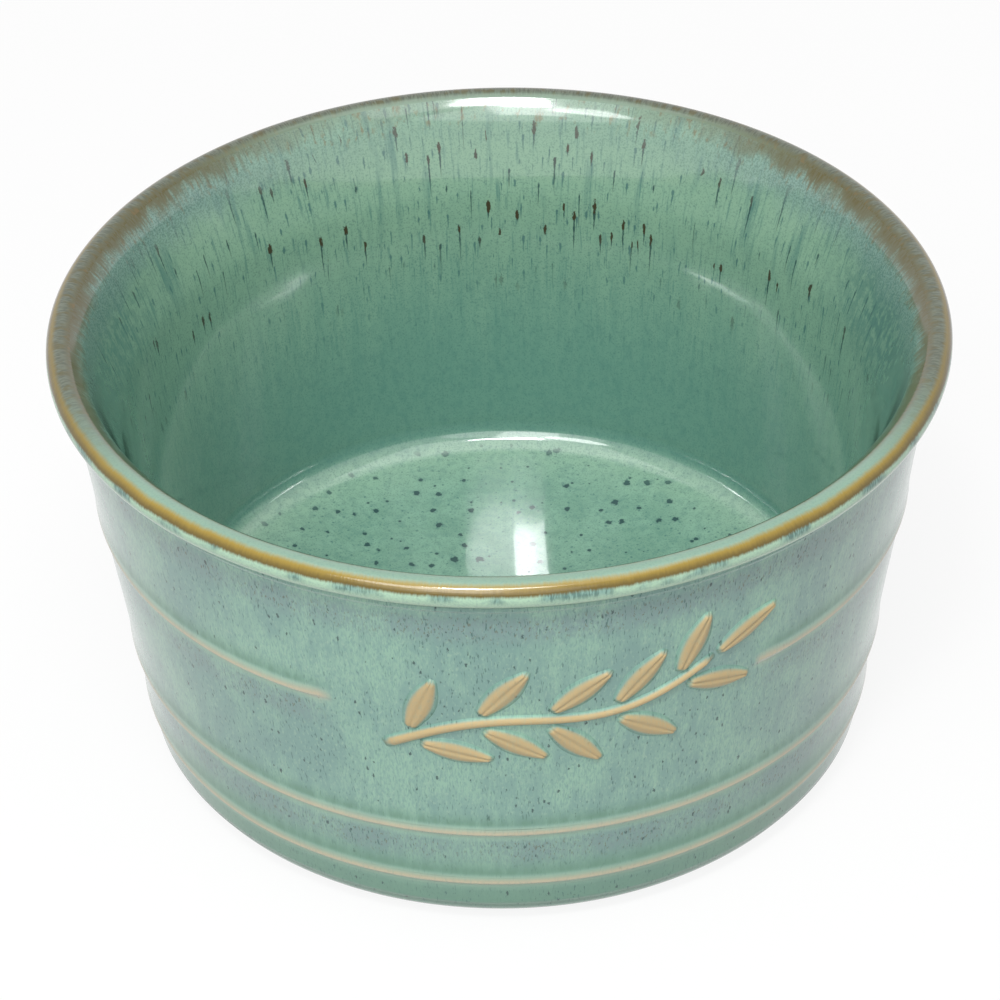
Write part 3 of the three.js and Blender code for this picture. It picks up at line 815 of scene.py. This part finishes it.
def panel_point(along, up, lift):
    """A point of the panel from lengths along and up it, lifted off the wall."""
    height = PANEL_HEIGHT + up
    mid = wall_radius(np.array(PANEL_HEIGHT), np.array(PANEL_ANGLE))
    angle = PANEL_ANGLE + along / mid
    radius = wall_radius(height, angle) + wobble(angle, height) + lift
    return np.stack([radius * np.sin(angle), -radius * np.cos(angle), height], -1)


def relief_piece(name, along, up, direction, half_width, crown):
    """A raised bar or leaf whose edges run out into the glaze. crown gives its height over its width."""
    rows = len(along)
    steps = np.arange(rows)
    across = np.linspace(-1, 1, 17)
    reach = (half_width + SPRIG_SKIRT)[:, None]
    shift = across[None, :] * reach
    place_along = along[:, None] - np.sin(direction)[:, None] * shift
    place_up = up[:, None] + np.cos(direction)[:, None] * shift
    edge_share = np.clip(np.abs(shift) / reach, 0, 1)
    from_end = np.minimum(steps, steps[::-1])
    rise = crown(edge_share) * smooth(0, END_STEPS, from_end)[:, None]
    top = panel_point(place_along, place_up, rise * SPRIG_PROUD - SPRIG_SINK)
    low = panel_point(place_along, place_up, np.full(rise.shape, -SPRIG_ROOT))
    section = np.concatenate([top, low[:, ::-1]], 1)
    count = section.shape[1]
    i, j = np.meshgrid(np.arange(rows - 1), np.arange(count), indexing="ij")
    j_next = (j + 1) % count
    sides = np.stack([i * count + j, (i + 1) * count + j, (i + 1) * count + j_next, i * count + j_next], 2)
    faces = sides.reshape(-1, 4).tolist()
    faces.append(list(range(count)))
    faces.append([(rows - 1) * count + k for k in range(count)][::-1])
    bare = np.concatenate([rise, rise[:, ::-1]], 1)
    attributes = {"bare": smooth(0.3, 0.65, bare), "pool": 0.5 * smooth(0.35, 0.15, bare),
                  "matt": np.ones(bare.shape)}
    new_piece(name + "_relief", section.reshape(-1, 3), faces, outside, name, attributes)


def stem_place(share):
    along = (share - 0.5) * STEM_LENGTH
    up = (share - 0.5) * STEM_RISE + STEM_BOW * np.sin(2 * math.pi * share)
    climb = STEM_RISE + 2 * math.pi * STEM_BOW * np.cos(2 * math.pi * share)
    return along, up, np.arctan2(climb, STEM_LENGTH)


def bar_crown(share):
    return (1 - share**2) ** 1.5


def leaf_crown(share):
    """Domed blade with a shallow groove down its midrib."""
    return (1 - share**2) ** 1.3 * (1 - 0.35 * np.exp(-((share / 0.13) ** 2)))


def leaf(name, along, up, direction):
    share = np.linspace(0, 1, 26)
    swell = LEAF_WIDTH - (LEAF_BASE_WIDTH + LEAF_TIP_WIDTH) / 2
    width = LEAF_BASE_WIDTH + (LEAF_TIP_WIDTH - LEAF_BASE_WIDTH) * share + swell * np.sin(math.pi * share)
    path_along = along + math.cos(direction) * LEAF_LENGTH * share
    path_up = up + math.sin(direction) * LEAF_LENGTH * share
    half_width = width / 2 - LEAF_TRIM
    relief_piece(name, path_along, path_up, np.full(share.shape, direction), half_width, leaf_crown)


def sprig():
    """Stem, pairs of leaves along it and a leaf at its tip."""
    share = np.linspace(0, 1, 60)
    along, up, direction = stem_place(share)
    half_width = (STEM_WIDTH + (STEM_TIP_WIDTH - STEM_WIDTH) * share) / 2 - STEM_TRIM
    relief_piece("sprig_stem", along, up, direction, half_width, bar_crown)
    corner = LEAF_BASE_WIDTH / 2 * math.cos(LEAF_SPREAD)
    offset = STEM_WIDTH / 2 + SPRIG_GAP + corner
    for pair in range(LEAF_PAIRS):
        along, up, direction = stem_place((pair + 0.5) / LEAF_PAIRS)
        for side, word in ((1, "upper"), (-1, "lower")):
            leaf(f"sprig_{word}_leaf_{pair + 1}", along - math.sin(direction) * offset * side,
                 up + math.cos(direction) * offset * side, direction + LEAF_SPREAD * side)
    along, up, direction = stem_place(1.0)
    leaf("sprig_end_leaf", along + math.cos(direction) * SPRIG_GAP, up + math.sin(direction) * SPRIG_GAP,
         direction)


sprig()


# Stage
FLOOR_REACH = 6.0
FLOOR_WHITE = 0.88  # share of plain white in the floor's look, the rest takes light and shadow
ROOM_LIGHT = 0.25
LAMP_DISTANCE = 1.1
LAMP_TARGET = Vector((0, 0, 0.04))
WHITE = (1, 1, 1)
PALE_FLOOR = (0.93, 0.93, 0.93)
PALER_FLOOR = (0.97, 0.97, 0.97)
BOUNCE_GREY = (0.45, 0.45, 0.45)  # the floor as other surfaces are lit by it


def seen_directly(g):
    """1 for rays from the camera, a mirror or through glass, so white stays white without adding light."""
    path = g.add("ShaderNodeLightPath")
    seen = g.math("MAXIMUM", path.outputs["Is Camera Ray"], path.outputs["Is Glossy Ray"])
    return g.math("MAXIMUM", seen, path.outputs["Is Transmission Ray"])


def make_floor():
    """Wide pale floor that stays white in the picture but keeps a soft shadow."""
    mesh = bpy.data.meshes.new("floor")
    corners = [(-1, -1), (1, -1), (1, 1), (-1, 1)]
    mesh.from_pydata([(x * FLOOR_REACH, y * FLOOR_REACH, 0) for x, y in corners], [], [(0, 1, 2, 3)])
    g = Graph(bpy.data.materials.new("floor"))
    grain = g.noise(g.place(), 40, 2)
    seen = seen_directly(g)
    pale = g.mix(grain, PALE_FLOOR, PALER_FLOOR)
    g.set(Base_Color=g.mix(seen, BOUNCE_GREY, pale), Roughness=1.0)
    white = g.add("ShaderNodeEmission", {"Color": WHITE, "Strength": 1.0})
    share = g.math("MULTIPLY", seen, FLOOR_WHITE)
    both = g.add("ShaderNodeMixShader", {"Fac": share, 1: g.shader.outputs[0], 2: white.outputs[0]})
    g.tree.links.new(both.outputs[0], g.tree.nodes["Material Output"].inputs["Surface"])
    mesh.materials.append(g.owner)
    floor = bpy.data.objects.new("floor", mesh)
    bpy.context.scene.collection.objects.link(floor)


def make_world():
    """White room: full white in reflections, dimmer as a light."""
    world = bpy.data.worlds.new("studio")
    bpy.context.scene.world = world
    g = Graph(world)
    white = g.add("ShaderNodeBackground", {"Color": WHITE, "Strength": 1.0})
    dim = g.add("ShaderNodeBackground", {"Color": WHITE, "Strength": ROOM_LIGHT})
    both = g.add("ShaderNodeMixShader", {"Fac": seen_directly(g), 1: dim.outputs[0], 2: white.outputs[0]})
    g.tree.links.new(both.outputs[0], g.tree.nodes["World Output"].inputs["Surface"])


def make_lamp(name, shape, azimuth, elevation, size, power, distance=LAMP_DISTANCE):
    """A soft box that faces the bowl. Azimuth 0 is straight in front, and it grows to the viewer's right."""
    lamp = bpy.data.lights.new(name, "AREA")
    lamp.shape = shape
    lamp.size, lamp.size_y = size
    lamp.energy = power
    turn, rise = math.radians(azimuth), math.radians(elevation)
    out = Vector((math.sin(turn) * math.cos(rise), -math.cos(turn) * math.cos(rise), math.sin(rise)))
    holder = bpy.data.objects.new(name, lamp)
    holder.location = LAMP_TARGET + out * distance
    holder.rotation_euler = (-out).to_track_quat("-Z", "Y").to_euler()
    bpy.context.scene.collection.objects.link(holder)


def make_camera():
    """The photograph's viewpoint: from above the rim, straight at the front, with a small roll."""
    aim = Vector((-0.0004, 0, 0.03855))
    elevation = math.radians(36.6228)
    distance = 0.58203
    roll = math.radians(-1.2583)
    sensor = 36
    lens_over_sensor = 3.62964
    data = bpy.data.cameras.new("camera")
    data.sensor_width = sensor
    data.lens = sensor * lens_over_sensor
    data.clip_start = 0.01
    camera = bpy.data.objects.new("camera", data)
    out = Vector((0, -math.cos(elevation), math.sin(elevation)))
    look = (-out).to_track_quat("-Z", "Y").to_matrix()
    turned = look @ Matrix.Rotation(roll, 3, "Z")
    camera.matrix_world = Matrix.Translation(aim + out * distance) @ turned.to_4x4()
    bpy.context.scene.collection.objects.link(camera)
    bpy.context.scene.camera = camera


make_floor()
make_world()
make_lamp("window", "RECTANGLE", azimuth=-12, elevation=58.3, size=(0.135, 0.11), power=2.8)
make_lamp("glow", "ELLIPSE", azimuth=1, elevation=60.3, size=(0.30, 0.09), power=1.7)
make_lamp("pane", "RECTANGLE", azimuth=-11, elevation=43, size=(0.32, 0.52), power=2.0)
make_lamp("side_pane", "ELLIPSE", azimuth=-31, elevation=48, size=(0.34, 0.26), power=1.4)
make_lamp("curtain", "ELLIPSE", azimuth=-8, elevation=35, size=(1.0, 0.75), power=2.2)
make_lamp("overhead", "RECTANGLE", azimuth=0, elevation=80, size=(1.2, 1.2), power=5.0, distance=1.3)
make_camera()
bpy.context.scene.view_settings.view_transform = "Standard"
